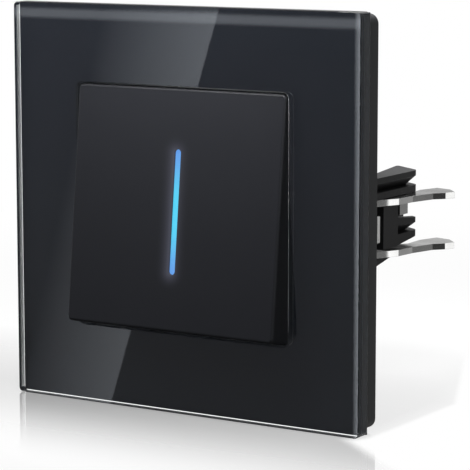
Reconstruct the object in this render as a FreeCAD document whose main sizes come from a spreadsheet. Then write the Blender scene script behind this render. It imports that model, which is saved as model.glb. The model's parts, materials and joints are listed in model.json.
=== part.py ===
import FreeCAD, Part
import math
import os

import Sketcher

# A square wall switch: one large push button, tilted and hinged near its top
# edge, in a glass panel with a steel plate, a contact case and two claws behind.
# X is right, Y runs into the wall and Z is up, in millimetres. The origin is the
# middle of the two box screws, on the wall plane.

DOCUMENT = FreeCAD.newDocument("pushbutton_switch")
SHEET = DOCUMENT.addObject("Spreadsheet::Sheet", "sizes")
SHEET_ROWS = []
PIECES = []
SIDE_PLANES = {"X": ("YZ_Plane", 1), "Y": ("XZ_Plane", -1), "Z": ("XY_Plane", 1)}
NEAR = 0.001


class Size:
    """A number with the sheet expression that it comes from."""

    def __init__(self, number, text):
        self.number = float(number)
        self.text = text

    def __add__(self, other):
        other = as_size(other)
        return Size(self.number + other.number, "(%s + %s)" % (self.text, other.text))

    def __sub__(self, other):
        other = as_size(other)
        return Size(self.number - other.number, "(%s - %s)" % (self.text, other.text))

    def __mul__(self, other):
        other = as_size(other)
        return Size(self.number * other.number, "(%s * %s)" % (self.text, other.text))

    def __truediv__(self, other):
        other = as_size(other)
        return Size(self.number / other.number, "(%s / %s)" % (self.text, other.text))

    def __neg__(self):
        return Size(-self.number, "(0 - %s)" % self.text)

    __rmul__ = __mul__


def as_size(value):
    """A plain number as a size that no cell drives."""
    if isinstance(value, Size):
        return value
    return Size(value, repr(value))


def size(alias, number):
    """A driving dimension, in millimetres or degrees: one row of the sheet."""
    SHEET_ROWS.append(alias)
    row = str(len(SHEET_ROWS))
    SHEET.set("A" + row, alias)
    SHEET.set("B" + row, str(number))
    SHEET.setAlias("B" + row, alias)
    return Size(number, "sizes." + alias)


# Glass panel and the foil behind it
panel_side = size("panel_side", 82)
panel_depth = size("panel_depth", 8)
glass_thick = size("glass_thick", 3.5)
glass_corner = size("glass_corner", 1)
glass_chamfer = size("glass_chamfer", 0.15)
aperture_width = size("aperture_width", 50.1)
aperture_height = size("aperture_height", 49.7)
aperture_rise = size("aperture_rise", 0.2)
aperture_corner = size("aperture_corner", 1.3)
aperture_chamfer = size("aperture_chamfer", 0.25)
tape_inset = size("tape_inset", 0.45)
tape_step = size("tape_step", 0.1)
tape_thick = size("tape_thick", 0.3)

# Moulded panel frame
frame_inset = size("frame_inset", 0.6)
frame_corner = size("frame_corner", 2)
frame_step = size("frame_step", 0.5)
frame_web = size("frame_web", 1.1)
frame_wall = size("frame_wall", 1.6)
frame_rim = size("frame_rim", 1.2)
rib_thick = size("rib_thick", 1.2)
rib_place = size("rib_place", 14)
peg_radius = size("peg_radius", 1.5)
peg_place = size("peg_place", 29)
peg_short = size("peg_short", 0.2)
peg_clearance = size("peg_clearance", 0.05)

# Steel mounting plate
plate_side = size("plate_side", 70)
plate_thick = size("plate_thick", 1.2)
plate_corner = size("plate_corner", 4)
opening_lip = size("opening_lip", 1.5)
box_pitch = size("box_pitch", 60)
box_slot_radius = size("box_slot_radius", 2.1)
box_slot_length = size("box_slot_length", 7)
lug_thick = size("lug_thick", 1.2)
lug_gap = size("lug_gap", 0.3)
pin_clearance = size("pin_clearance", 0.05)

# Contact case and its cover
case_width = size("case_width", 39)
case_height = size("case_height", 42)
case_depth = size("case_depth", 30)
case_wall = size("case_wall", 2)
case_corner = size("case_corner", 2.5)
case_chamfer = size("case_chamfer", 1.5)
cover_lap_x = size("cover_lap_x", 4)
cover_lap_z = size("cover_lap_z", 3)
cover_thick = size("cover_thick", 2)
cover_corner = size("cover_corner", 3)
window_width = size("window_width", 5)
window_height = size("window_height", 26)
case_screw_edge = size("case_screw_edge", 4)
case_screw_radius = size("case_screw_radius", 1.1)
case_screw_head = size("case_screw_head", 2.1)
case_screw_head_thick = size("case_screw_head_thick", 1)
case_screw_length = size("case_screw_length", 11)
case_screw_slot_depth = size("case_screw_slot_depth", 0.5)
screw_clearance = size("screw_clearance", 0.1)
boss_radius = size("boss_radius", 2.4)
boss_length = size("boss_length", 12)

# Hinge of the button
hinge_depth = size("hinge_depth", 4.8)
hinge_height = size("hinge_height", 20.5)
hinge_pin_radius = size("hinge_pin_radius", 0.8)
knuckle_radius = size("knuckle_radius", 1.6)
knuckle_width = size("knuckle_width", 2.9)
hinge_post_x = size("hinge_post_x", 12.5)
hinge_post_width = size("hinge_post_width", 3)
hinge_side_gap = size("hinge_side_gap", 0.3)
button_tilt = size("button_tilt", 5.9)

# Button cap, in its own frame on the hinge axis
cap_front = size("cap_front", 3.6)
cap_depth = size("cap_depth", 5.85)
cap_wall = size("cap_wall", 1.5)
cap_face_width = size("cap_face_width", 49.1)
cap_face_height = size("cap_face_height", 48.3)
cap_face_rise = size("cap_face_rise", 3.95)
cap_base_width = size("cap_base_width", 49.6)
cap_base_height = size("cap_base_height", 49.35)
cap_base_rise = size("cap_base_rise", 4.45)
cap_corner = size("cap_corner", 1)
cap_edge = size("cap_edge", 0.6)
cap_rib = size("cap_rib", 1)
cap_rib_height = size("cap_rib_height", 0.9)
stake_x = size("stake_x", 17)
stake_boss_radius = size("stake_boss_radius", 2)
stake_radius = size("stake_radius", 0.9)
stake_low = size("stake_low", 38)
stake_high = size("stake_high", 5.5)
stake_clearance = size("stake_clearance", 0.05)

# Button carrier, light bar and light guide
carrier_front = size("carrier_front", 0.95)
carrier_thick = size("carrier_thick", 1.8)
carrier_width = size("carrier_width", 41)
carrier_top = size("carrier_top", 2.5)
carrier_gap = size("carrier_gap", 1.9)
carrier_corner = size("carrier_corner", 1.5)
bar_length = size("bar_length", 25)
bar_width = size("bar_width", 1.5)
bar_offset = size("bar_offset", 0.4)
bar_recess = size("bar_recess", 0.4)
bar_flange = size("bar_flange", 1)
bar_flange_thick = size("bar_flange_thick", 0.8)
bar_clearance = size("bar_clearance", 0.03)
guide_width = size("guide_width", 4)
guide_length = size("guide_length", 24)
guide_clearance = size("guide_clearance", 0.1)

# Plunger, bridge and return spring
plunger_edge = size("plunger_edge", 3)
plunger_radius = size("plunger_radius", 2)
plunger_gap = size("plunger_gap", 0.25)
plunger_nose = size("plunger_nose", 0.5)
collar_radius = size("collar_radius", 2.8)
collar_thick = size("collar_thick", 1.4)
collar_gap = size("collar_gap", 0.1)
bridge_place = size("bridge_place", 5.5)
bridge_thick = size("bridge_thick", 0.6)
bridge_length = size("bridge_length", 15)
bridge_width = size("bridge_width", 4)
tail_radius = size("tail_radius", 1.6)
tail_length = size("tail_length", 10)
tail_clearance = size("tail_clearance", 0.3)
contact_x = size("contact_x", 5.5)
rivet_radius = size("rivet_radius", 1.2)
rivet_thick = size("rivet_thick", 0.3)
contact_travel = size("contact_travel", 3)
seat_place = size("seat_place", 14)
seat_radius = size("seat_radius", 3.6)
seat_bore_depth = size("seat_bore_depth", 7)
spring_wire = size("spring_wire", 0.5)
spring_radius = size("spring_radius", 2.35)
spring_turns = size("spring_turns", 6)
spring_gap = size("spring_gap", 0.05)

# Contacts and terminals
strip_thick = size("strip_thick", 0.8)
strip_width = size("strip_width", 4)
strip_x = size("strip_x", 12)
terminal_x = size("terminal_x", 11)
terminal_edge = size("terminal_edge", 0.5)
terminal_width = size("terminal_width", 7)
terminal_height = size("terminal_height", 8)
terminal_length = size("terminal_length", 8)
wire_radius = size("wire_radius", 1.5)
clamp_radius = size("clamp_radius", 1.4)
clamp_head_radius = size("clamp_head_radius", 2)
clamp_head_thick = size("clamp_head_thick", 1.8)
clamp_gap = size("clamp_gap", 0.2)

# Lamp board
board_width = size("board_width", 18)
board_height = size("board_height", 25)
board_thick = size("board_thick", 1.2)
board_place = size("board_place", 0.5)
board_post_radius = size("board_post_radius", 0.9)
board_post_x = size("board_post_x", 7.5)
board_post_z = size("board_post_z", 11)
lamp_side = size("lamp_side", 2)
lamp_thick = size("lamp_thick", 1)
lamp_pitch = size("lamp_pitch", 9)
lead_width = size("lead_width", 1)
lead_thick = size("lead_thick", 0.6)
lead_z = size("lead_z", 11.3)
lead_inset = size("lead_inset", 2.75)

# Claws: two flanges joined by a heel plate, on a pin beside the case
claw_pin_gap = size("claw_pin_gap", 4)
claw_pin_y = size("claw_pin_y", 4)
claw_pin_radius = size("claw_pin_radius", 1)
claw_pin_head = size("claw_pin_head", 1.5)
claw_pin_head_thick = size("claw_pin_head_thick", 0.5)
claw_middle = size("claw_middle", -3.9)
claw_height = size("claw_height", 11.8)
claw_thick = size("claw_thick", 1.3)
claw_eye_radius = size("claw_eye_radius", 2.2)
claw_lever = size("claw_lever", 5)
heel_place = size("heel_place", 13.5)
heel_thick = size("heel_thick", 1.3)
heel_reach = size("heel_reach", 7.5)
heel_slot_inner = size("heel_slot_inner", 1.8)
heel_slot_width = size("heel_slot_width", 3.6)
tab_out = size("tab_out", 7.2)
tab_back = size("tab_back", 20.8)
tab_length = size("tab_length", 3.4)
tab_drop = size("tab_drop", 2.7)

# Claw screws and nuts
claw_screw_radius = size("claw_screw_radius", 1.5)
claw_screw_hole = size("claw_screw_hole", 1.75)
claw_screw_end = size("claw_screw_end", 20.5)
claw_screw_head = size("claw_screw_head", 2.6)
claw_screw_head_thick = size("claw_screw_head_thick", 1.5)
claw_screw_play = size("claw_screw_play", 0.05)
clip_radius = size("clip_radius", 2.4)
clip_thick = size("clip_thick", 0.6)
driver_slot_width = size("driver_slot_width", 0.7)
driver_slot_depth = size("driver_slot_depth", 0.8)
nut_gap = size("nut_gap", 0.6)
nut_thick = size("nut_thick", 1.2)
nut_width = size("nut_width", 7)
nut_height = size("nut_height", 5.6)
nut_clearance = size("nut_clearance", 0.05)
notch_clearance = size("notch_clearance", 0.6)

# Claw guides: grooved bars on a back plate against the case side
guide_back_thick = size("guide_back_thick", 1.1)
guide_front = size("guide_front", 9)
guide_back_end = size("guide_back_end", 22)
guide_reach = size("guide_reach", 12.3)
guide_bend = size("guide_bend", 32.6)
guide_tip_out = size("guide_tip_out", 4.9)
guide_tip_y = size("guide_tip_y", 37.6)
guide_throat_out = size("guide_throat_out", 7.8)
guide_throat_y = size("guide_throat_y", 23.5)
upper_bar_height = size("upper_bar_height", 4.2)
upper_land = size("upper_land", 1.1)
lower_bar_height = size("lower_bar_height", 4.9)
lower_land = size("lower_land", 0.7)
groove_depth = size("groove_depth", 1.9)
groove_bend_back = size("groove_bend_back", 1)
groove_tip_back = size("groove_tip_back", 2.7)
block_start = size("block_start", 17.9)
block_end = size("block_end", 24)
block_reach = size("block_reach", 12.5)
bottom_bar_thick = size("bottom_bar_thick", 1.4)
bottom_bar_inset = size("bottom_bar_inset", 0.6)
tip_hole_clearance = size("tip_hole_clearance", 0.2)

# Corners of a claw flange, out and back from its pin: out along the arm, round the
# hooked tip, and home along the inner edge
CLAW_CORNERS = (
    ("shoulder", 8, 12),
    ("arm", 10.3, 17),
    ("waist", 10.8, 22),
    ("neck", 12.3, 28),
    ("barb", 14.1, 30.1),
    ("tip", 15.1, 32.3),
    ("end", 12.5, 35.3),
    ("end_inner", 8.9, 36.3),
    ("throat", 7.5, 31.5),
    ("inner_neck", 7.7, 25.7),
    ("inner_waist", 4, 21),
    ("inner_arm", -0.5, 9),
)
claw_corners = [
    (size("claw_%s_out" % name, out), size("claw_%s_back" % name, back)) for name, out, back in CLAW_CORNERS
]

DOCUMENT.recompute()


def cosine(angle):
    """The cosine of an angle of the sheet."""
    return Size(math.cos(math.radians(angle.number)), "cos(%s * 1 deg)" % angle.text)


def sine(angle):
    """The sine of an angle of the sheet."""
    return Size(math.sin(math.radians(angle.number)), "sin(%s * 1 deg)" % angle.text)


# Planes that several pieces share
wall_plane = as_size(0)
middle = as_size(0)
glass_face = -panel_depth
glass_back = glass_face + glass_thick
web_front = glass_back + tape_thick
web_back = web_front + frame_web
plate_front = -plate_thick
cover_front = plate_front - cover_thick
frame_side = panel_side - frame_inset * 2
frame_opening = aperture_width + frame_step * 2
opening_width = case_width - opening_lip * 2
opening_height = case_height - opening_lip * 2
cover_width = opening_width + cover_lap_x * 2
cover_height = opening_height + cover_lap_z * 2
case_floor = case_depth - case_wall
case_side = case_width / 2
case_inside_low = case_wall - case_height / 2
case_screw_x = case_width / 2 - case_screw_edge
case_screw_z = case_height / 2 - case_screw_edge
terminal_z = -case_inside_low - terminal_edge - terminal_height / 2
plunger_height = case_inside_low + plunger_edge
claw_pin_x = case_side + claw_pin_gap
claw_screw_x = claw_pin_x + claw_lever
carrier_back = carrier_thick - carrier_front
carrier_foot = cap_base_rise - cap_base_height + cap_wall + carrier_gap
plunger_reach = (hinge_height - plunger_height) * sine(button_tilt)
plunger_face = carrier_back * cosine(button_tilt) - hinge_depth - plunger_reach + plunger_gap
guide_outer = case_side + guide_reach
guide_tip_x = case_side + guide_tip_out
guide_throat_x = case_side + guide_throat_out
nut_place = heel_place + heel_thick + nut_gap
claw_top = claw_middle + claw_height / 2
claw_base = claw_middle - claw_height / 2
collar_front = plate_front + collar_gap
bridge_back = bridge_place + bridge_thick
bar_centre = -hinge_height
terminal_front = case_floor - terminal_length
CAD_SIDES = (-1, 1)


# Drawing steps: each returns a function that draws one closed outline on a sketch


def lines(points):
    """A closed outline of straight lines through the given corners."""
    corners = [(as_size(x), as_size(y)) for x, y in points]

    def draw(sketch):
        first = sketch.GeometryCount
        count = len(corners)
        spots = [FreeCAD.Vector(x.number, y.number, 0) for x, y in corners]
        for index in range(count):
            sketch.addGeometry(Part.LineSegment(spots[index], spots[(index + 1) % count]))
        for index in range(count):
            following = first + (index + 1) % count
            sketch.addConstraint(Sketcher.Constraint("Coincident", first + index, 2, following, 1))
        for index, (x, y) in enumerate(corners):
            fix_point(sketch, first + index, 1, x, y)

    return draw


def box(x_low, y_low, x_high, y_high):
    """A rectangle between two opposite corners."""
    return lines([(x_low, y_low), (x_high, y_low), (x_high, y_high), (x_low, y_high)])


def square(side):
    """A square on the middle of the sketch."""
    return box(-side / 2, -side / 2, side / 2, side / 2)


def circle(x, y, radius):
    """A circle about the given point."""
    x = as_size(x)
    y = as_size(y)

    def draw(sketch):
        index = sketch.GeometryCount
        centre = FreeCAD.Vector(x.number, y.number, 0)
        sketch.addGeometry(Part.Circle(centre, FreeCAD.Vector(0, 0, 1), radius.number))
        fix_point(sketch, index, 3, x, y)
        fix_length(sketch, Sketcher.Constraint("Radius", index, radius.number), radius)

    return draw


def upright_slot(x, y, length, width_radius):
    """A slot with round ends, given by its middle, overall length and half width."""
    x = as_size(x)
    y = as_size(y)
    reach = length / 2 - width_radius

    def draw(sketch):
        first = sketch.GeometryCount
        up = FreeCAD.Vector(0, 0, 1)
        half = width_radius.number
        top = FreeCAD.Vector(x.number, (y + reach).number, 0)
        low = FreeCAD.Vector(x.number, (y - reach).number, 0)
        left = FreeCAD.Vector(-half, 0, 0)
        upper_turn = Part.ArcOfCircle(Part.Circle(top, up, half), 0, math.pi)
        lower_turn = Part.ArcOfCircle(Part.Circle(low, up, half), math.pi, math.pi * 2)
        sketch.addGeometry(upper_turn)
        sketch.addGeometry(Part.LineSegment(top + left, low + left))
        sketch.addGeometry(lower_turn)
        sketch.addGeometry(Part.LineSegment(low - left, top - left))
        for index in range(4):
            following = first + (index + 1) % 4
            sketch.addConstraint(Sketcher.Constraint("Tangent", first + index, 2, following, 1))
        fix_length(sketch, Sketcher.Constraint("Radius", first, half), width_radius)
        sketch.addConstraint(Sketcher.Constraint("Equal", first, first + 2))
        fix_point(sketch, first, 3, x, y + reach)
        fix_point(sketch, first + 2, 3, x, y - reach)

    return draw


def fix_length(sketch, constraint, length):
    """Add a constraint and tie it to a size."""
    index = sketch.addConstraint(constraint)
    sketch.setExpression("Constraints[%d]" % index, length.text)


def fix_point(sketch, index, end, x, y):
    """Tie one point of the sketch to two sizes, measured from the sketch's origin."""
    across = Sketcher.Constraint("DistanceX", -1, 1, index, end, x.number)
    along = Sketcher.Constraint("DistanceY", -1, 1, index, end, y.number)
    fix_length(sketch, across, x)
    fix_length(sketch, along, y)


# Features: material is added or cut between two planes square to one axis


def new_body(label):
    """A new piece, whose label names its file."""
    body = DOCUMENT.addObject("PartDesign::Body", label)
    body.Label = label
    PIECES.append(body)
    return body


def sketch_on(body, axis, place, outlines):
    """A sketch on the body's own plane square to the axis, moved to the place."""
    role, direction = SIDE_PLANES[axis]
    plane = [item for item in body.Origin.OriginFeatures if item.Role == role][0]
    sketch = body.newObject("Sketcher::SketchObject", body.Label + "_sketch")
    sketch.AttachmentSupport = [(plane, "")]
    sketch.MapMode = "FlatFace"
    sketch.setExpression("AttachmentOffset.Base.z", (place * direction).text)
    for draw in outlines:
        draw(sketch)
    return sketch


def raise_block(body, axis, low, high, *outlines):
    """Add material from the low plane to the high one."""
    direction = SIDE_PLANES[axis][1]
    start = low if direction > 0 else high
    sketch = sketch_on(body, axis, as_size(start), outlines)
    feature = body.newObject("PartDesign::Pad", body.Label + "_pad")
    feature.Profile = sketch
    feature.setExpression("Length", (as_size(high) - low).text)
    return settle(feature)


def cut_block(body, axis, low, high, *outlines):
    """Take material away from the low plane to the high one."""
    before = body.Shape.Volume
    direction = SIDE_PLANES[axis][1]
    start = high if direction > 0 else low
    sketch = sketch_on(body, axis, as_size(start), outlines)
    feature = body.newObject("PartDesign::Pocket", body.Label + "_pocket")
    feature.Profile = sketch
    feature.setExpression("Length", (as_size(high) - low).text)
    settle(feature)
    if body.Shape.Volume > before - NEAR:
        raise RuntimeError("a pocket of %s cuts nothing" % body.Label)
    return feature


def settle(feature):
    """Recompute, and stop if the feature failed."""
    DOCUMENT.recompute()
    if "Invalid" in feature.State or "Error" in feature.State or not feature.Shape.isValid():
        raise RuntimeError("%s failed" % feature.Label)
    return feature


def pick_edges(body, test):
    """The names of the edges of the body that pass a test."""
    names = []
    for index, edge in enumerate(body.Tip.Shape.Edges):
        if test(edge):
            names.append("Edge%d" % (index + 1))
    if not names:
        raise RuntimeError("no edge of %s passes the test" % body.Label)
    return names


def round_edges(body, radius, test):
    """Round the edges that pass a test."""
    base = body.Tip
    names = pick_edges(body, test)
    feature = body.newObject("PartDesign::Fillet", body.Label + "_fillet")
    feature.Base = (base, names)
    feature.setExpression("Radius", radius.text)
    settle(feature)


def bevel_edges(body, depth, test):
    """Chamfer the edges that pass a test."""
    base = body.Tip
    names = pick_edges(body, test)
    feature = body.newObject("PartDesign::Chamfer", body.Label + "_chamfer")
    feature.Base = (base, names)
    feature.setExpression("Size", depth.text)
    settle(feature)


def repeat_round(body, feature, count):
    """Repeat a feature evenly around the depth axis."""
    axis = [item for item in body.Origin.OriginFeatures if item.Role == "Y_Axis"][0]
    pattern = body.newObject("PartDesign::PolarPattern", body.Label + "_pattern")
    pattern.Originals = [feature]
    pattern.Axis = (axis, [""])
    pattern.Angle = 360
    pattern.Occurrences = count
    body.Tip = pattern
    settle(pattern)


def middle_of(edge):
    """The middle of an edge's box."""
    return edge.BoundBox.Center


def is_corner(edge, half_x, half_z, centre_z):
    """Whether an edge runs along the depth at one of a rectangle's four corners."""
    rise = abs(middle_of(edge).z - centre_z.number)
    return is_side_corner(edge, half_x) and abs(rise - half_z.number) < NEAR


def is_side_corner(edge, half_x):
    """Whether an edge runs along the depth at one of the two sides."""
    spot = middle_of(edge)
    span = edge.BoundBox
    upright = span.XLength < NEAR and span.ZLength < NEAR
    return upright and abs(abs(spot.x) - half_x.number) < NEAR


def lies_at_depth(edge, depth):
    """Whether an edge lies wholly in the plane at one depth."""
    span = edge.BoundBox
    return abs(span.YMin - depth.number) < NEAR and abs(span.YMax - depth.number) < NEAR


def round_corners(body, width, height, radius, centre_z=middle):
    """Round the four corners of a rectangle, which may sit above the origin."""
    round_edges(body, radius, lambda edge: is_corner(edge, width / 2, height / 2, centre_z))


def mirror_piece(source, label):
    """The left twin of a right piece, across the middle plane."""
    twin = DOCUMENT.addObject("Part::Mirroring", label)
    twin.Label = label
    twin.Source = source
    twin.Normal = FreeCAD.Vector(1, 0, 0)
    PIECES.append(twin)
    return twin


def hang_on_hinge(body):
    """Set a piece drawn about the hinge axis at its tilted rest place."""
    spot = FreeCAD.Vector(0, -hinge_depth.number, hinge_height.number)
    turn = FreeCAD.Rotation(FreeCAD.Vector(-1, 0, 0), button_tilt.number)
    body.Placement = FreeCAD.Placement(spot, turn)
    body.setExpression("Placement.Base.y", (-hinge_depth).text)
    body.setExpression("Placement.Base.z", hinge_height.text)
    body.setExpression("Placement.Rotation.Angle", button_tilt.text)


# Panel


def glass_panel():
    """Clear glass square with an aperture for the button and polished edges."""
    body = new_body("glass_panel")
    raise_block(body, "Y", glass_face, glass_back, square(panel_side), aperture(middle))
    round_corners(body, panel_side, panel_side, glass_corner)
    round_corners(body, aperture_width, aperture_height, aperture_corner, aperture_rise)
    bevel_edges(body, glass_chamfer, lambda edge: is_front_rim(edge) and is_outside(edge))
    bevel_edges(body, aperture_chamfer, lambda edge: is_front_rim(edge) and not is_outside(edge))


def aperture(growth):
    """The button's opening, grown on every side."""
    half_width = aperture_width / 2 + growth
    half_height = aperture_height / 2 + growth
    return box(-half_width, aperture_rise - half_height, half_width, aperture_rise + half_height)


def is_front_rim(edge):
    """Whether an edge lies in the glass's face."""
    return lies_at_depth(edge, glass_face)


def is_outside(edge):
    """Whether an edge is nearer to the panel's outside than the frame's opening is."""
    span = edge.BoundBox
    reach = max(abs(span.XMin), abs(span.XMax), abs(span.ZMin), abs(span.ZMax))
    return reach > frame_opening.number / 2


def backing_tape():
    """Black foil with adhesive, set in from the glass edge."""
    body = new_body("backing_tape")
    foil_side = panel_side - tape_inset * 2
    raise_block(body, "Y", glass_back, web_front, square(foil_side), aperture(tape_step))
    width = aperture_width + tape_step * 2
    height = aperture_height + tape_step * 2
    round_corners(body, width, height, aperture_corner, aperture_rise)


def panel_frame():
    """Moulded tray behind the glass: web, two walls, ribs and four friction pegs."""
    body = new_body("panel_frame")
    inner_wall_side = frame_opening + frame_rim * 2
    outer_wall_inside = frame_side - frame_wall * 2
    raise_block(body, "Y", web_front, web_back, square(frame_side), square(frame_opening))
    raise_block(body, "Y", web_back, wall_plane, square(frame_side), square(outer_wall_inside))
    round_corners(body, frame_side, frame_side, frame_corner)
    raise_block(body, "Y", web_back, plate_front, square(inner_wall_side), square(frame_opening))
    notch = claw_screw_head + notch_clearance
    for side in CAD_SIDES:
        inner = frame_opening / 2 * side
        outer = (inner_wall_side / 2 + NEAR) * side
        low, high = (inner, outer) if side > 0 else (outer, inner)
        gap = box(low, claw_middle - notch, high, claw_middle + notch)
        cut_block(body, "Y", web_back, plate_front, gap)
    rib = raise_block(
        body,
        "Y",
        web_back,
        plate_front,
        box(-rib_place - rib_thick, inner_wall_side / 2 - NEAR, -rib_place, outer_wall_inside / 2 + NEAR),
        box(rib_place, inner_wall_side / 2 - NEAR, rib_place + rib_thick, outer_wall_inside / 2 + NEAR),
    )
    repeat_round(body, rib, 4)
    peg = raise_block(body, "Y", web_back, -peg_short, circle(peg_place, peg_place, peg_radius))
    repeat_round(body, peg, 4)


# Mounting plate


def mounting_plate():
    """Stamped steel plate with slots for the box screws and bent lugs for the claw pins."""
    body = new_body("mounting_plate")
    half_width = opening_width / 2
    half_height = opening_height / 2
    opening = box(-half_width, -half_height, half_width, half_height)
    raise_block(body, "Y", plate_front, wall_plane, square(plate_side), opening)
    round_corners(body, plate_side, plate_side, plate_corner)
    cut_block(
        body,
        "Y",
        plate_front,
        wall_plane,
        upright_slot(0, box_pitch / 2, box_slot_length, box_slot_radius),
        upright_slot(0, -box_pitch / 2, box_slot_length, box_slot_radius),
    )
    hole_radius = peg_radius + peg_clearance
    pegs = [circle(peg_place * x, peg_place * z, hole_radius) for x in CAD_SIDES for z in CAD_SIDES]
    screws = [circle(claw_screw_x * side, claw_middle, claw_screw_hole) for side in CAD_SIDES]
    cut_block(body, "Y", plate_front, wall_plane, *pegs, *screws)
    for low in (claw_top + lug_gap, claw_base - lug_gap - lug_thick):
        claw_lugs(body, low, low + lug_thick)


def claw_lugs(body, low, high):
    """One pair of lugs, left and right, with the bore for the claw pin."""
    for side in CAD_SIDES:
        centre = claw_pin_x * side
        foot = box(centre - claw_eye_radius, wall_plane - NEAR, centre + claw_eye_radius, claw_pin_y)
        raise_block(body, "Z", low, high, foot)
        raise_block(body, "Z", low, high, circle(centre, claw_pin_y, claw_eye_radius))
        bore = circle(centre, claw_pin_y, claw_pin_radius + pin_clearance)
        cut_block(body, "Z", low, high, bore)


# Contact case and cover


def mechanism_case():
    """Moulded cup behind the plate: walls, screw bosses, spring seat and wire entries."""
    body = new_body("mechanism_case")
    half_width = case_width / 2
    half_height = case_height / 2
    inner_width = case_width - case_wall * 2
    inner_height = case_height - case_wall * 2
    shell = box(-half_width, -half_height, half_width, half_height)
    raise_block(body, "Y", wall_plane, case_depth, shell)
    round_corners(body, case_width, case_height, case_corner)
    bevel_edges(body, case_chamfer, lambda edge: lies_at_depth(edge, case_depth))
    hollow = box(-inner_width / 2, -inner_height / 2, inner_width / 2, inner_height / 2)
    cut_block(body, "Y", wall_plane, case_floor, hollow)
    bosses = [
        circle(case_screw_x * x, case_screw_z * z, boss_radius) for x in CAD_SIDES for z in CAD_SIDES
    ]
    raise_block(body, "Y", wall_plane, boss_length, *bosses)
    screw_depth = cover_front + case_screw_length + screw_clearance
    screw_hole = case_screw_radius + screw_clearance
    holes = [circle(case_screw_x * x, case_screw_z * z, screw_hole) for x in CAD_SIDES for z in CAD_SIDES]
    cut_block(body, "Y", wall_plane, screw_depth, *holes)
    raise_block(body, "Y", seat_place, case_floor + NEAR, circle(0, plunger_height, seat_radius))
    bore = circle(0, plunger_height, tail_radius + tail_clearance)
    cut_block(body, "Y", seat_place, seat_place + seat_bore_depth, bore)
    entries = [circle(x, z, wire_radius) for x, z in terminal_places()]
    cut_block(body, "Y", case_floor, case_depth, *entries)
    clamp_entries(body)


def terminal_places():
    """The three wire axes: line and load low down, neutral at the top middle."""
    return [(-terminal_x, -terminal_z), (terminal_x, -terminal_z), (middle, terminal_z)]


def clamp_entries(body):
    """Holes in the case's lower and upper walls that a screwdriver goes through."""
    clamp_y = case_floor - terminal_length / 2
    entry = clamp_head_radius + screw_clearance
    half_height = case_height / 2
    low = [circle(-terminal_x, clamp_y, entry), circle(terminal_x, clamp_y, entry)]
    cut_block(body, "Z", -half_height, case_wall - half_height, *low)
    cut_block(body, "Z", half_height - case_wall, half_height, circle(0, clamp_y, entry))


def mechanism_cover():
    """Moulded cover on the plate: hinge posts, light window, plunger guide and board posts."""
    body = new_body("mechanism_cover")
    half_width = cover_width / 2
    half_height = cover_height / 2
    half_window_x = window_width / 2
    half_window_z = window_height / 2
    sheet = box(-half_width, -half_height, half_width, half_height)
    window = box(-half_window_x, -half_window_z, half_window_x, half_window_z)
    raise_block(body, "Y", cover_front, plate_front, sheet, window)
    round_corners(body, cover_width, cover_height, cover_corner)
    cut_block(
        body,
        "Y",
        cover_front,
        plate_front,
        circle(0, plunger_height, plunger_radius + screw_clearance),
        *[
            circle(case_screw_x * x, case_screw_z * z, case_screw_radius + screw_clearance)
            for x in CAD_SIDES
            for z in CAD_SIDES
        ],
    )
    sinks = [
        circle(case_screw_x * x, case_screw_z * z, case_screw_head + screw_clearance)
        for x in CAD_SIDES
        for z in CAD_SIDES
    ]
    cut_block(body, "Y", cover_front, cover_front + case_screw_head_thick, *sinks)
    board_posts = [
        circle(board_post_x * x, board_post_z * z, board_post_radius) for x in CAD_SIDES for z in CAD_SIDES
    ]
    raise_block(body, "Y", plate_front - NEAR, board_place, *board_posts)
    hinge_posts(body)


def hinge_posts(body):
    """Two eyes on the cover that hold the hinge pin."""
    axis_y = -hinge_depth
    for side in CAD_SIDES:
        inner = hinge_post_x * side
        outer = (hinge_post_x + hinge_post_width) * side
        low, high = (inner, outer) if side > 0 else (outer, inner)
        low_z = hinge_height - knuckle_radius
        high_z = hinge_height + knuckle_radius
        raise_block(body, "X", low, high, box(axis_y, low_z, cover_front + NEAR, high_z))
        raise_block(body, "X", low, high, circle(axis_y, hinge_height, knuckle_radius))
        bore = circle(axis_y, hinge_height, hinge_pin_radius + pin_clearance)
        cut_block(body, "X", low, high, bore)


def case_screws():
    """Four screws that draw the case, plate and cover together."""
    for number, (x, z) in enumerate([(-1, -1), (1, -1), (-1, 1), (1, 1)]):
        body = new_body("case_screw_%d" % (number + 1))
        centre_x = case_screw_x * x
        centre_z = case_screw_z * z
        head_back = cover_front + case_screw_head_thick
        raise_block(body, "Y", cover_front, head_back, circle(centre_x, centre_z, case_screw_head))
        shank_end = cover_front + case_screw_length
        raise_block(body, "Y", head_back, shank_end, circle(centre_x, centre_z, case_screw_radius))
        slot_end = cover_front + case_screw_slot_depth
        cut_block(body, "Y", cover_front, slot_end, driver_slot(centre_x, centre_z, case_screw_head))


def driver_slot(x, y, head_radius):
    """The outline of a straight slot across a screw head."""
    reach = head_radius + NEAR
    half = driver_slot_width / 2
    return box(x - reach, y - half, x + reach, y + half)


def hinge_pin():
    """Steel pin along the hinge axis, through both posts and both knuckles."""
    body = new_body("hinge_pin")
    reach = hinge_post_x + hinge_post_width
    raise_block(body, "X", -reach, reach, circle(-hinge_depth, hinge_height, hinge_pin_radius))


# Contacts, terminals and lamps


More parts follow.
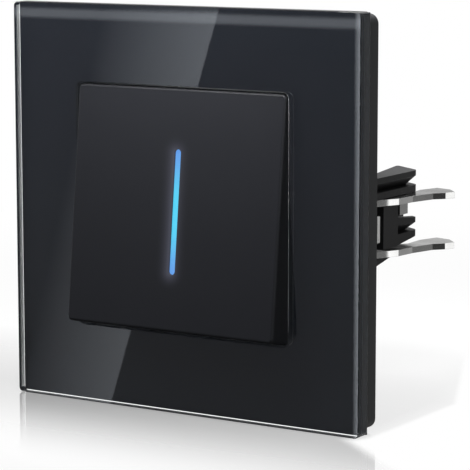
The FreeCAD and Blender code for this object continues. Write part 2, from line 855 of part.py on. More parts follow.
def fixed_contact():
    """Brass strip from the load terminal to its silver rivet in front of the bridge's path."""
    body = new_body("fixed_contact_load")
    front = contact_front()
    low = plunger_height - strip_width / 2
    high = plunger_height + strip_width / 2
    inner = contact_x - rivet_radius
    outer = strip_x + strip_thick / 2
    leg_inner = strip_x - strip_thick / 2
    tongue = lines(
        [
            (inner, front),
            (outer, front),
            (outer, terminal_front),
            (leg_inner, terminal_front),
            (leg_inner, front + strip_thick),
            (inner, front + strip_thick),
        ]
    )
    raise_block(body, "Z", low, high, tongue)
    rivet = circle(contact_x, plunger_height, rivet_radius)
    raise_block(body, "Y", front - rivet_thick, front + NEAR, rivet)
    mirror_piece(body, "fixed_contact_line")


def contact_front():
    """The fixed strip's front: the bridge's rivets reach it at full travel."""
    return bridge_back + rivet_thick + contact_travel + collar_gap + rivet_thick


def terminal_block(label, x, z):
    """Brass block with a wire bore along the depth and a clamp thread across it."""
    body = new_body(label)
    half_width = terminal_width / 2
    half_height = terminal_height / 2
    outline = box(x - half_width, z - half_height, x + half_width, z + half_height)
    raise_block(body, "Y", terminal_front, case_floor, outline)
    cut_block(body, "Y", terminal_front, case_floor, circle(x, z, wire_radius))
    thread = circle(x, case_floor - terminal_length / 2, clamp_radius + pin_clearance)
    if z.number < 0:
        cut_block(body, "Z", z - half_height, z, thread)
    else:
        cut_block(body, "Z", z, z + half_height, thread)


def terminals():
    """The line, load and neutral terminals."""
    labels = ("terminal_line", "terminal_load", "terminal_neutral")
    for label, (x, z) in zip(labels, terminal_places()):
        terminal_block(label, x, z)


def terminal_screws():
    """Clamp screws: each is backed off to just outside the wire bore."""
    names = ("terminal_screw_line", "terminal_screw_load", "terminal_screw_neutral")
    clamp_y = case_floor - terminal_length / 2
    for name, (x, z) in zip(names, terminal_places()):
        body = new_body(name)
        face = terminal_height / 2
        tip = wire_radius + clamp_gap
        shank = circle(x, clamp_y, clamp_radius)
        head = circle(x, clamp_y, clamp_head_radius)
        slot = driver_slot(x, clamp_y, clamp_head_radius)
        if z.number < 0:
            outside = z - face - clamp_head_thick
            raise_block(body, "Z", z - face, z - tip, shank)
            raise_block(body, "Z", outside, z - face, head)
            cut_block(body, "Z", outside, outside + driver_slot_depth, slot)
        else:
            outside = z + face + clamp_head_thick
            raise_block(body, "Z", z + tip, z + face, shank)
            raise_block(body, "Z", z + face, outside, head)
            cut_block(body, "Z", outside - driver_slot_depth, outside, slot)


def lamp_board():
    """Circuit board behind the cover's window."""
    body = new_body("lamp_board")
    half_width = board_width / 2
    half_height = board_height / 2
    outline = box(-half_width, -half_height, half_width, half_height)
    raise_block(body, "Y", board_place, board_place + board_thick, outline)


def indicator_lamps():
    """Three small lamps on the board's front."""
    half = lamp_side / 2
    for number in range(3):
        body = new_body("indicator_lamp_%d" % (number + 1))
        centre = lamp_pitch * (number - 1)
        outline = box(-half, centre - half, half, centre + half)
        raise_block(body, "Y", board_place - lamp_thick, board_place, outline)


def lamp_leads():
    """Brass leads from the board to the neutral and line terminals."""
    board_back = board_place + board_thick
    half = lead_thick / 2
    for label, x, z in (
        ("lamp_lead_neutral", middle, lead_z),
        ("lamp_lead_line", lead_inset - terminal_x, -lead_z),
    ):
        body = new_body(label)
        outline = box(x - lead_width / 2, z - half, x + lead_width / 2, z + half)
        raise_block(body, "Y", board_back, terminal_front, outline)


# Button: drawn about the hinge axis, with its face square to the depth


def loft_between(body, kind, axis, low, low_outline, high, high_outline):
    """A straight-sided solid or hollow between two outlines on two planes."""
    near_sketch = sketch_on(body, axis, low, [low_outline])
    far_sketch = sketch_on(body, axis, high, [high_outline])
    feature = body.newObject("PartDesign::" + kind, body.Label + "_loft")
    feature.Profile = near_sketch
    feature.Sections = [far_sketch]
    feature.Ruled = True
    return settle(feature)


def button_cap():
    """Hollow drafted cap with a slot for the light bar, stiffening ribs and four stakes."""
    body = new_body("button_cap")
    face = -cap_front
    back = cap_depth - cap_front
    inner_face = face + cap_wall
    half = cap_base_width / 2
    raise_block(body, "X", -half, half, cap_profile(face, back, middle))
    top = cap_base_rise + cap_wall
    low = cap_base_rise - cap_base_height - cap_wall
    for side in CAD_SIDES:
        narrow = cap_face_width / 2 * side
        wide = half * side
        clear = (half + cap_wall) * side
        wedge = lines([(narrow, face), (wide, back), (clear, back), (clear, face)])
        cut_block(body, "Z", low, top, wedge)
    round_edges(body, cap_corner, runs_from_face_to_back)
    round_edges(body, cap_edge, lambda edge: lies_at_depth(edge, face))
    inner_half = cap_face_width / 2 - cap_wall
    cut_block(body, "X", -inner_half, inner_half, cap_profile(inner_face, back, cap_wall))
    ribs = []
    for side in CAD_SIDES:
        centre = stake_x * side
        low = cap_face_rise - cap_face_height + cap_wall
        high = cap_face_rise - cap_wall
        ribs.append(box(centre - cap_rib / 2, low - NEAR, centre + cap_rib / 2, high + NEAR))
    raise_block(body, "Y", inner_face - NEAR, inner_face + cap_rib_height, *ribs)
    carrier_face = -carrier_front
    bosses = [circle(x, z, stake_boss_radius) for x, z in stake_places()]
    raise_block(body, "Y", inner_face - NEAR, carrier_face, *bosses)
    stakes = [circle(x, z, stake_radius) for x, z in stake_places()]
    raise_block(body, "Y", carrier_face - NEAR, carrier_face + carrier_thick, *stakes)
    slot = upright_slot(bar_offset, bar_centre, bar_length, bar_width / 2)
    cut_block(body, "Y", face, inner_face, slot)
    hang_on_hinge(body)


def cap_profile(front, back, wall):
    """The cap's side view, or its hollow's: the top and the foot slope out towards the back."""
    top_front = cap_face_rise - wall
    foot_front = cap_face_rise - cap_face_height + wall
    top_back = cap_base_rise - wall
    foot_back = cap_base_rise - cap_base_height + wall
    return lines([(front, foot_front), (front, top_front), (back, top_back), (back, foot_back)])


def runs_from_face_to_back(edge):
    """Whether an edge of the cap runs through its whole depth."""
    return edge.BoundBox.YLength > cap_depth.number - NEAR


def stake_places():
    """The four places where the cap is staked to its carrier."""
    return [(stake_x * x, -z) for x in CAD_SIDES for z in (stake_high, stake_low)]


def button_carrier():
    """Plate inside the cap, with the light guide's slot and two hinge knuckles."""
    body = new_body("button_carrier")
    front = -carrier_front
    back = carrier_back
    half_width = carrier_width / 2
    top = -carrier_top
    plate = box(-half_width, carrier_foot, half_width, top)
    raise_block(body, "Y", front, back, plate)
    round_edges(body, carrier_corner, lambda edge: is_side_corner(edge, half_width))
    slot_half_x = guide_width / 2 + guide_clearance
    slot_half_z = guide_length / 2 + guide_clearance
    slot_low = bar_centre - slot_half_z
    slot_high = bar_centre + slot_half_z
    window = box(bar_offset - slot_half_x, slot_low, bar_offset + slot_half_x, slot_high)
    stakes = [circle(x, z, stake_radius + stake_clearance) for x, z in stake_places()]
    cut_block(body, "Y", front, back, window, *stakes)
    for side in CAD_SIDES:
        near = (hinge_post_x - hinge_side_gap) * side
        far = (hinge_post_x - hinge_side_gap - knuckle_width) * side
        low, high = (far, near) if side > 0 else (near, far)
        raise_block(body, "X", low, high, box(front, top - NEAR, back, middle))
        raise_block(body, "X", low, high, circle(0, 0, knuckle_radius))
        bore = circle(0, 0, hinge_pin_radius + pin_clearance)
        cut_block(body, "X", low, high, bore)
    hang_on_hinge(body)


def light_bar():
    """Clear bar set a little into the cap's slot, with a flange behind."""
    body = new_body("light_bar")
    face = -cap_front
    inner_face = face + cap_wall
    stem_half = bar_width / 2 - bar_clearance
    stem = upright_slot(bar_offset, bar_centre, bar_length - bar_clearance * 2, stem_half)
    raise_block(body, "Y", face + bar_recess, inner_face, stem)
    flange_half = bar_width / 2 + bar_flange
    flange = upright_slot(bar_offset, bar_centre, bar_length + bar_flange * 2, flange_half)
    raise_block(body, "Y", inner_face, inner_face + bar_flange_thick, flange)
    hang_on_hinge(body)


def light_guide():
    """Clear block that brings the lamps' light through the carrier to the bar."""
    body = new_body("light_guide")
    front = cap_wall + bar_flange_thick - cap_front
    half_x = guide_width / 2
    half_z = guide_length / 2
    low = bar_centre - half_z
    high = bar_centre + half_z
    outline = box(bar_offset - half_x, low, bar_offset + half_x, high)
    raise_block(body, "Y", front, carrier_back, outline)
    hang_on_hinge(body)


# Plunger, bridge and spring


def plunger():
    """Moulded plunger: front rod, collar behind the cover, seat for the bridge, and tail."""
    body = new_body("plunger")
    collar_back = collar_front + collar_thick
    rod = circle(0, plunger_height, plunger_radius)
    tail = circle(0, plunger_height, tail_radius)
    raise_block(body, "Y", plunger_face, collar_front + NEAR, rod)
    collar = circle(0, plunger_height, collar_radius)
    raise_block(body, "Y", collar_front, collar_back, collar)
    raise_block(body, "Y", collar_back - NEAR, bridge_place, rod)
    raise_block(body, "Y", bridge_place - NEAR, bridge_back + tail_length, tail)
    round_edges(body, plunger_nose, lambda edge: lies_at_depth(edge, plunger_face))


def contact_bridge():
    """Springy copper bridge on the plunger, with a silver rivet at each end."""
    body = new_body("contact_bridge")
    half = bridge_length / 2
    half_width = bridge_width / 2
    outline = box(-half, plunger_height - half_width, half, plunger_height + half_width)
    hole = circle(0, plunger_height, tail_radius + pin_clearance)
    raise_block(body, "Y", bridge_place, bridge_back, outline, hole)
    rivets = [circle(contact_x * side, plunger_height, rivet_radius) for side in CAD_SIDES]
    raise_block(body, "Y", bridge_back - NEAR, bridge_back + rivet_thick, *rivets)


def return_spring():
    """Coil spring between the bridge and the seat in the case."""
    body = new_body("return_spring")
    start = bridge_back + spring_gap + spring_wire / 2
    wire = circle(spring_radius, start, spring_wire / 2)
    sketch = sketch_on(body, "Z", plunger_height, [wire])
    feature = body.newObject("PartDesign::AdditiveHelix", "return_spring_coil")
    feature.Profile = sketch
    feature.ReferenceAxis = (sketch, ["V_Axis"])
    feature.Mode = 2
    feature.setExpression("Height", (seat_place - bridge_back - spring_gap * 2 - spring_wire).text)
    feature.setExpression("Turns", spring_turns.text)
    settle(feature)


# Claws, pins, screws and nuts: the right side is drawn, the left is its mirror image


def claw_pin():
    """Pin through the plate's lugs and the claw's eyes."""
    body = new_body("right_claw_pin")
    low = claw_base - lug_gap - lug_thick
    high = claw_top + lug_gap + lug_thick
    raise_block(body, "Z", low, high, circle(claw_pin_x, claw_pin_y, claw_pin_radius))
    head = circle(claw_pin_x, claw_pin_y, claw_pin_head)
    raise_block(body, "Z", high, high + claw_pin_head_thick, head)
    raise_block(body, "Z", low - claw_pin_head_thick, low, head)
    mirror_piece(body, "left_claw_pin")


def claw_outline():
    """One claw flange seen along the pin, from its eye round the arm and the hooked tip."""
    eye = [
        (claw_pin_x - claw_eye_radius, claw_pin_y),
        (claw_pin_x + claw_eye_radius, claw_pin_y),
    ]
    arm = [(claw_pin_x + out, claw_pin_y + back) for out, back in claw_corners]
    return lines(eye + arm)


def claw():
    """Bent steel claw: two flanges, a heel plate with an open screw slot, and a tab."""
    body = new_body("right_claw")
    claw_flange(body, claw_top - claw_thick)
    heel = box(claw_pin_x, heel_place, claw_pin_x + heel_reach, heel_place + heel_thick)
    raise_block(body, "Z", claw_base + NEAR, claw_top - NEAR, heel)
    claw_flange(body, claw_base)
    slot_inner = claw_pin_x + heel_slot_inner
    half_slot = heel_slot_width / 2
    slot_outer = claw_pin_x + heel_reach + NEAR
    slot = box(slot_inner, claw_middle - half_slot, slot_outer, claw_middle + half_slot)
    cut_block(body, "Y", heel_place, heel_place + heel_thick, slot)
    tab_x = claw_pin_x + tab_out
    tab_y = claw_pin_y + tab_back
    tab = box(tab_x, tab_y, tab_x + claw_thick, tab_y + tab_length)
    raise_block(body, "Z", claw_top - claw_thick - tab_drop, claw_top - claw_thick + NEAR, tab)
    bore = circle(claw_pin_x, claw_pin_y, claw_pin_radius + pin_clearance)
    cut_block(body, "Z", claw_base, claw_top, bore)
    mirror_piece(body, "left_claw")


def claw_flange(body, low):
    """One of the claw's two flanges, with its round eye."""
    raise_block(body, "Z", low, low + claw_thick, claw_outline())
    raise_block(body, "Z", low, low + claw_thick, circle(claw_pin_x, claw_pin_y, claw_eye_radius))


def claw_screw():
    """Captive screw in the plate: slotted head in front, retaining clip behind."""
    body = new_body("right_claw_screw")
    head_back = plate_front - claw_screw_play
    head_front = head_back - claw_screw_head_thick
    head = circle(claw_screw_x, claw_middle, claw_screw_head)
    raise_block(body, "Y", head_front, head_back, head)
    shank = circle(claw_screw_x, claw_middle, claw_screw_radius)
    raise_block(body, "Y", head_back - NEAR, claw_screw_end, shank)
    clip = circle(claw_screw_x, claw_middle, clip_radius)
    raise_block(body, "Y", claw_screw_play, claw_screw_play + clip_thick, clip)
    slot = driver_slot(claw_screw_x, claw_middle, claw_screw_head)
    cut_block(body, "Y", head_front, head_front + driver_slot_depth, slot)
    mirror_piece(body, "left_claw_screw")


def claw_nut():
    """Nut plate that the screw draws against the claw's heel."""
    body = new_body("right_claw_nut")
    half_height = nut_height / 2
    inner = claw_screw_x - nut_width / 2
    outer = claw_screw_x + nut_width / 2
    outline = box(inner, claw_middle - half_height, outer, claw_middle + half_height)
    bore = circle(claw_screw_x, claw_middle, claw_screw_radius + nut_clearance)
    raise_block(body, "Y", nut_place, nut_place + nut_thick, outline, bore)
    mirror_piece(body, "left_claw_nut")


def guide_outline(start, outer):
    """A guide bar seen along the pin, from its start to its slanted end."""
    root = case_side + guide_back_thick - NEAR
    return lines(
        [
            (root, start),
            (outer, start),
            (outer, guide_bend),
            (guide_tip_x, guide_tip_y),
            (guide_throat_x, guide_throat_y),
            (root, guide_back_end),
        ]
    )


def valley_outline(start):
    """The bar at the bottom of its groove: drawn in at the side and at the slanted end."""
    root = case_side + guide_back_thick - NEAR
    inner = guide_outer - groove_depth
    lean = (guide_throat_x - guide_tip_x) / (guide_tip_y - guide_throat_y)
    return lines(
        [
            (root, start),
            (inner, start),
            (inner, guide_bend - groove_bend_back),
            (guide_tip_x + groove_tip_back * lean, guide_tip_y - groove_tip_back),
            (guide_throat_x, guide_throat_y),
            (root, guide_back_end),
        ]
    )


def grooved_bar(body, start, top, height, land):
    """A bar with one groove round its outside: land, slope down to the valley, tooth."""
    outline = guide_outline(start, guide_outer)
    slope_top = top - land
    valley = slope_top - groove_depth
    raise_block(body, "Z", slope_top - NEAR, top, outline)
    raise_block(body, "Z", top - height, valley, outline)
    loft_between(body, "AdditiveLoft", "Z", valley - NEAR, valley_outline(start), slope_top, outline)


def claw_guide():
    """Moulded comb on the case side that the claw's flanges slide between."""
    body = new_body("right_claw_guide")
    bottom = claw_base - lug_gap - bottom_bar_thick
    upper_low = claw_top + lug_gap
    upper_top = upper_low + upper_bar_height
    lower_low = claw_base + claw_thick + lug_gap
    block_top = claw_top - claw_thick - lug_gap
    plate = box(case_side, guide_front, case_side + guide_back_thick, guide_back_end)
    raise_block(body, "Z", bottom, upper_top, plate)
    grooved_bar(body, guide_front, upper_top, upper_bar_height, upper_land)
    lower_top = lower_low + lower_bar_height
    block_outer = case_side + block_reach
    block = box(case_side + guide_back_thick - NEAR, block_start, block_outer, block_end)
    raise_block(body, "Z", lower_low, block_top, block)
    grooved_bar(body, block_start, lower_top, lower_bar_height, lower_land)
    bottom_outline = guide_outline(guide_front, guide_outer - bottom_bar_inset)
    raise_block(body, "Z", bottom, bottom + bottom_bar_thick, bottom_outline)
    tip_hole = circle(claw_screw_x, claw_middle, claw_screw_radius + tip_hole_clearance)
    cut_block(body, "Y", block_start, guide_tip_y, tip_hole)
    mirror_piece(body, "left_claw_guide")


def build():
    """Make every piece in turn."""
    glass_panel()
    backing_tape()
    panel_frame()
    mounting_plate()
    mechanism_case()
    mechanism_cover()
    case_screws()
    hinge_pin()
    fixed_contact()
    terminals()
    terminal_screws()
    lamp_board()
    indicator_lamps()
    lamp_leads()
    button_cap()
    button_carrier()
    light_bar()
    light_guide()
    plunger()
    contact_bridge()
    return_spring()
    claw_pin()
    claw()
    claw_screw()
    claw_nut()
    claw_guide()
    DOCUMENT.recompute()


def check():
    """Stop before anything is written if a feature failed or a shape is not sound."""
    for item in DOCUMENT.Objects:
        if "Invalid" in item.State or "Error" in item.State:
            raise RuntimeError("%s is %s" % (item.Label, item.State))
    for piece in PIECES:
        if piece.Shape.isNull() or not piece.Shape.isValid() or not piece.Shape.Solids:
            raise RuntimeError("%s has no sound shape" % piece.Label)


def export():
    """Write each piece to its own file."""
    os.makedirs("parts", exist_ok=True)
    for piece in PIECES:
        piece.Shape.exportStep("parts/%s.step" % piece.Label)
        box_of = piece.Shape.BoundBox
        print(piece.Label, len(piece.Shape.Solids), round(piece.Shape.Volume, 2), box_of)


build()
check()
export()
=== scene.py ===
"""Looks of a glass-panelled push-button light switch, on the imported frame.

Metres. X runs to the right seen from the front, Y into the wall, Z up.
"""

import json
import math

import bmesh
import bpy
from mathutils import Matrix, Vector


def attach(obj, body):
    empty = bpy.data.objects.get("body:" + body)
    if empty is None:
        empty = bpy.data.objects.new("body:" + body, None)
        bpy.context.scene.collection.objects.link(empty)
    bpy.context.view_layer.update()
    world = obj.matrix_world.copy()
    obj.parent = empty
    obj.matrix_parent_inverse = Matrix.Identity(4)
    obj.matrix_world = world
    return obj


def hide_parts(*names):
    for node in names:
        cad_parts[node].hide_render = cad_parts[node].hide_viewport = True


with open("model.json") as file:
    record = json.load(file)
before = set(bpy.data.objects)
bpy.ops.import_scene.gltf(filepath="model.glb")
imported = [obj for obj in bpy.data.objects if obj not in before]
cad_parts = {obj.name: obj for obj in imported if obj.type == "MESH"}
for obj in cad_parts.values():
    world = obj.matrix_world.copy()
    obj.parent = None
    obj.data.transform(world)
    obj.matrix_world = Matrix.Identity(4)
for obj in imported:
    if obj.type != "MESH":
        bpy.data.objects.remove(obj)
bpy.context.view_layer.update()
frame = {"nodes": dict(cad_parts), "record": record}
nodes = frame["nodes"]

MM = 0.001
PANEL_HALF = 41 * MM
FLOOR_Z = -PANEL_HALF
GLASS_Y = -8 * MM
SIDES = ("right", "left")


# Material building


class Nodes:
    """The node tree of a material or a world, with short calls for its nodes."""

    def __init__(self, owner):
        owner.use_nodes = True
        self.tree = owner.node_tree
        self.coords = None

    def add(self, kind, **settings):
        """A new node with the given settings."""
        node = self.tree.nodes.new("ShaderNode" + kind)
        for key, value in settings.items():
            setattr(node, key, value)
        return node

    def link(self, source, target):
        """Join an output socket to an input socket."""
        self.tree.links.new(source, target)

    def feed(self, socket, value):
        """Link or set an input, whichever the value calls for."""
        if isinstance(value, bpy.types.NodeSocket):
            self.link(value, socket)
        else:
            socket.default_value = value

    def place(self, scale=(1, 1, 1), source="Object"):
        """The point's place in the object's own frame, stretched by the scale."""
        if self.coords is None:
            self.coords = self.add("TexCoord")
        if tuple(scale) == (1, 1, 1):
            return self.coords.outputs[source]
        mapping = self.add("Mapping")
        self.link(self.coords.outputs[source], mapping.inputs["Vector"])
        mapping.inputs["Scale"].default_value = scale
        return mapping.outputs["Vector"]

    def axes(self, source="Object"):
        """The three coordinates of the point."""
        node = self.add("SeparateXYZ")
        self.link(self.place(source=source), node.inputs[0])
        return node.outputs

    def noise(self, size, detail=3.0, rough=0.5, stretch=(1, 1, 1)):
        """Noise whose grains are about the given size in metres."""
        node = self.add("TexNoise")
        self.link(self.place(stretch), node.inputs["Vector"])
        node.inputs["Scale"].default_value = 1 / size
        node.inputs["Detail"].default_value = detail
        node.inputs["Roughness"].default_value = rough
        return node.outputs["Fac"]

    def span(self, value, low, high, to_low=0.0, to_high=1.0, smooth=False):
        """Map a value's range onto another range, and hold it there."""
        node = self.add("MapRange")
        if smooth:
            node.interpolation_type = "SMOOTHSTEP"
        self.feed(node.inputs["Value"], value)
        self.feed(node.inputs["From Min"], low)
        self.feed(node.inputs["From Max"], high)
        self.feed(node.inputs["To Min"], to_low)
        self.feed(node.inputs["To Max"], to_high)
        return node.outputs["Result"]

    def math(self, operation, first, second=None):
        """One step of arithmetic."""
        node = self.add("Math", operation=operation)
        self.feed(node.inputs[0], first)
        if second is not None:
            self.feed(node.inputs[1], second)
        return node.outputs[0]

    def product(self, first, *others):
        """Several values multiplied together."""
        for other in others:
            first = self.math("MULTIPLY", first, other)
        return first

    def total(self, first, *others):
        """Several values added together."""
        for other in others:
            first = self.math("ADD", first, other)
        return first

    def shared(self, first, second, share):
        """Two values added, the first with its share and the second with the rest."""
        return self.total(self.product(first, share), self.product(second, 1 - share))

    def length(self, first, second):
        """The length of a line with the given two sides."""
        return self.math("SQRT", self.total(self.math("POWER", first, 2), self.math("POWER", second, 2)))

    def mix(self, factor, first, second):
        """A value between two values."""
        return self.between("FLOAT", factor, first, second)

    def blend(self, factor, first, second):
        """A colour between two colours."""
        return self.between("RGBA", factor, first, second)

    def between(self, kind, factor, first, second):
        """A mix of two inputs of one kind."""
        node = self.add("Mix", data_type=kind)
        self.feed(node.inputs["Factor"], factor)
        self.feed(node.inputs["A"], first)
        self.feed(node.inputs["B"], second)
        return node.outputs["Result"]


class Surface(Nodes):
    """A material's nodes around its own shader."""

    def __init__(self, name):
        self.material = bpy.data.materials.new(name)
        super().__init__(self.material)
        self.shader = self.tree.nodes["Principled BSDF"]
        self.output = self.tree.nodes["Material Output"]

    def bump(self, height, depth, strength=1.0):
        """Relief of the given depth in metres on the shader's normal."""
        node = self.add("Bump")
        self.feed(node.inputs["Height"], height)
        node.inputs["Distance"].default_value = depth
        node.inputs["Strength"].default_value = strength
        self.link(node.outputs["Normal"], self.shader.inputs["Normal"])

    def set(self, **values):
        """Set or link the shader's inputs, with spaces written as underscores."""
        for key, value in values.items():
            self.feed(self.shader.inputs[key.replace("_", " ")], value)

    def emission(self, colour, strength):
        """A light of its own, apart from the shader."""
        node = self.add("Emission")
        self.feed(node.inputs["Color"], colour)
        self.feed(node.inputs["Strength"], strength)
        return node.outputs[0]


def grey(level):
    """A neutral colour."""
    return (level, level, level, 1)


def dimmed(colour, factor):
    """A darker tone of a colour."""
    return tuple(channel * factor for channel in colour[:3]) + (1,)


def moulded(name, colour, rough, grain=0.12 * MM, relief=0.006 * MM, level=0.5, tint=1.25):
    """Moulded plastic with a spark-eroded grain and slow changes of tone and sheen."""
    n = Surface(name)
    slow = n.noise(12 * MM, 2)
    fine = n.noise(grain, 2)
    n.set(Base_Color=n.blend(slow, dimmed(colour, 1 / tint), colour))
    n.set(Roughness=n.span(n.shared(slow, fine, 0.5), 0.3, 0.7, rough - 0.05, rough + 0.05))
    n.set(Specular_IOR_Level=level)
    n.bump(fine, relief)
    return n.material


def metal(n, bright, dull, cloud_size, brush, rough_low, rough_high):
    """Set a bare metal's tone and sheen: faint clouds and brushing, whose lines are returned."""
    lines = n.noise(0.35 * MM, 3, 0.6, brush)
    cloud = n.noise(cloud_size, 3)
    n.set(Base_Color=n.blend(n.span(cloud, 0.35, 0.75), bright, dull))
    n.set(Roughness=n.span(n.shared(cloud, lines, 0.4), 0.25, 0.75, rough_low, rough_high))
    n.set(Metallic=1.0)
    return lines


def plated(name, colour, rough, brush=(1, 1, 1), relief=0.003 * MM):
    """Plated or bare metal: brushing, faint cloudiness and dull spots."""
    n = Surface(name)
    lines = metal(n, colour, dimmed(colour, 0.75), 6 * MM, brush, rough * 0.75, rough * 1.3)
    n.bump(lines, relief)
    return n.material


def claw_steel():
    """Bright nickel on stamped steel, raised at its heel and wavy along its length from the press."""
    n = Surface("claw_steel")
    lines = metal(n, (0.88, 0.88, 0.87, 1), (0.76, 0.76, 0.75, 1), 4 * MM, (1, 1, 6), 0.10, 0.19)
    along = n.axes()[1]
    heel = n.span(along, 14.5 * MM, 19 * MM, 0.55 * MM, 0.0, smooth=True)
    wave = n.product(n.noise(5 * MM, 1, 0.4, (0.25, 1, 0.05)), 0.09 * MM)
    grain = n.product(lines, 0.002 * MM)
    n.bump(n.total(heel, wave, grain), 1.0)
    return n.material


def ground_chamfer_and_painted_highlight(n, out, x, y, z):
    """How ground the chamfer round the glass's window is, and so how white it shows as a painted
    highlight: most low on the right, none at the foot.
    """
    off_face = n.span(y, GLASS_Y + 0.01 * MM, GLASS_Y + 0.03 * MM)
    on_chamfer = n.span(y, GLASS_Y + 0.24 * MM, GLASS_Y + 0.26 * MM, 1.0, 0.0)
    by_window = n.span(out, 26.2 * MM, 26.4 * MM, 1.0, 0.0)
    rightward = n.span(x, -26 * MM, 0.0, 0.0, 0.28)
    downward = n.span(z, -18 * MM, 10 * MM, 2.8, 1.0)
    above_foot = n.span(z, -24.3 * MM, -18.5 * MM)
    return n.product(off_face, on_chamfer, by_window, rightward, downward, above_foot)


def clear_glass():
    """Clear float glass with a hair of green, the faintest waviness and ground edges, and a painted
    highlight on the window's chamfer.
    """
    n = Surface("clear_glass")
    x, y, z = n.axes()
    out = n.math("MAXIMUM", n.math("ABSOLUTE", x), n.math("ABSOLUTE", z))
    off_left = n.span(x, 0.01 * MM - PANEL_HALF, 0.03 * MM - PANEL_HALF)
    in_front = n.span(y, GLASS_Y + 1.6 * MM, GLASS_Y + 2.3 * MM, 1.0, 0.0)
    clearness = n.math("MAXIMUM", off_left, in_front)
    # Painted highlight: the window's chamfer is made less clear where a bright line is wanted
    n.set(Transmission_Weight=n.math("SUBTRACT", clearness, ground_chamfer_and_painted_highlight(n, out, x, y, z)))
    at_edge = n.span(out, PANEL_HALF - 0.03 * MM, PANEL_HALF - 0.02 * MM)
    behind = n.span(y, GLASS_Y + 1.3 * MM, GLASS_Y + 1.5 * MM)
    polished = n.span(n.noise(15 * MM, 1), 0.3, 0.8, 0.0, 0.003)
    n.set(Roughness=n.total(polished, n.product(at_edge, behind, 0.4)))
    n.set(Base_Color=(0.965, 0.985, 0.98, 1), IOR=1.52)
    n.bump(n.noise(20 * MM, 1), 0.001 * MM, 0.3)
    return n.material


def black_foil():
    """Smooth blue-black film behind the glass, with a faint orange peel."""
    n = Surface("black_foil")
    slow = n.noise(15 * MM, 2)
    n.set(Base_Color=n.blend(slow, (0.0085, 0.0105, 0.0145, 1), (0.0105, 0.0125, 0.0170, 1)))
    n.set(Roughness=n.span(n.noise(6 * MM, 1), 0.3, 0.7, 0.55, 0.62))
    n.set(Specular_IOR_Level=0.1)
    return n.material


def cap_material():
    """Fine matt black cap, with painted light making its right side paler, painted shade making its top
    darker, and a painted blue glow close to the light bar.
    """
    n = Surface("cap_black")
    slow = n.noise(10 * MM, 2)
    fine = n.noise(0.16 * MM, 2)
    x, _, z = n.axes()
    face = n.blend(slow, (0.0092, 0.0098, 0.0122, 1), (0.0108, 0.0114, 0.0140, 1))
    # Painted light: a paler copy of the cap's black on its right side, which the lamps leave too dark
    painted_lit_flank = n.blend(slow, (0.020, 0.021, 0.024, 1), (0.023, 0.024, 0.027, 1))
    painted_side_light = n.blend(n.span(x, 24.2 * MM, 24.4 * MM), face, painted_lit_flank)
    # Painted shade: the top edge is darkened towards black to dull the lamp's highlight there
    painted_top_shade = n.span(z, 24.1 * MM, 24.5 * MM, 0.0, 0.35)
    n.set(Base_Color=n.blend(painted_top_shade, painted_side_light, grey(0.0)))
    n.set(Roughness=n.span(fine, 0.3, 0.7, 0.46, 0.56))
    n.set(Specular_IOR_Level=0.12)
    n.bump(fine, 0.007 * MM)
    bar_middle = 0.3 * MM
    bar_reach = 11.8 * MM
    along = n.math("ABSOLUTE", n.math("SUBTRACT", z, bar_middle))
    past_end = n.math("MAXIMUM", n.math("SUBTRACT", along, bar_reach), 0.0)
    off_bar = n.length(n.math("ABSOLUTE", x), past_end)
    # Painted glow: the cap itself emits blue around the light bar, though it is no lamp
    painted_bar_glow = n.math("POWER", n.span(off_bar, 0.6 * MM, 4.2 * MM, 1.0, 0.0), 3.0)
    n.set(Emission_Color=(0.082, 0.084, 0.115, 1), Emission_Strength=n.product(painted_bar_glow, 0.55))
    return n.material


def lit_bar():
    """Clear bar lit from behind: cyan in the middle, blue towards the ends."""
    n = Surface("lit_bar")
    bar_middle = 0.2 * MM
    away = n.math("ABSOLUTE", n.math("SUBTRACT", n.axes()[2], bar_middle))
    end = n.span(away, 2 * MM, 12.5 * MM, smooth=True)
    patch = n.noise(1.2 * MM, 2)
    middle = n.blend(patch, (0.060, 0.58, 0.84, 1), (0.090, 0.67, 0.92, 1))
    tips = n.blend(patch, (0.100, 0.29, 0.74, 1), (0.13, 0.35, 0.82, 1))
    n.set(Emission_Color=n.blend(end, middle, tips), Emission_Strength=1.0)
    n.set(Base_Color=(0.01, 0.02, 0.03, 1), Roughness=0.25)
    return n.material


def frosted_guide():
    """Frosted clear block that carries light to the bar."""
    n = Surface("frosted_guide")
    n.set(Base_Color=n.blend(n.noise(1 * MM, 2), (0.5, 0.75, 0.85, 1), (0.6, 0.85, 0.95, 1)))
    n.set(Roughness=n.span(n.noise(0.3 * MM, 2), 0.3, 0.7, 0.35, 0.5))
    n.set(Transmission_Weight=0.6, IOR=1.49)
    n.set(Emission_Color=(0.05, 0.5, 0.8, 1), Emission_Strength=0.3)
    return n.material


def circuit_board():
    """Green lacquered board with faint tracks under the lacquer."""
    n = Surface("circuit_board")
    track = n.add("TexBrick")
    n.link(n.place(), track.inputs["Vector"])
    track.inputs["Scale"].default_value = 300
    track.inputs["Color1"].default_value = (0.012, 0.085, 0.035, 1)
    track.inputs["Color2"].default_value = (0.014, 0.10, 0.045, 1)
    track.inputs["Mortar"].default_value = (0.030, 0.18, 0.085, 1)
    track.inputs["Mortar Size"].default_value = 0.06
    n.set(Base_Color=track.outputs["Color"])
    n.set(Roughness=n.span(n.noise(0.6 * MM, 2), 0.3, 0.7, 0.25, 0.4))
    n.bump(n.noise(0.5 * MM, 2), 0.01 * MM, 0.5)
    return n.material


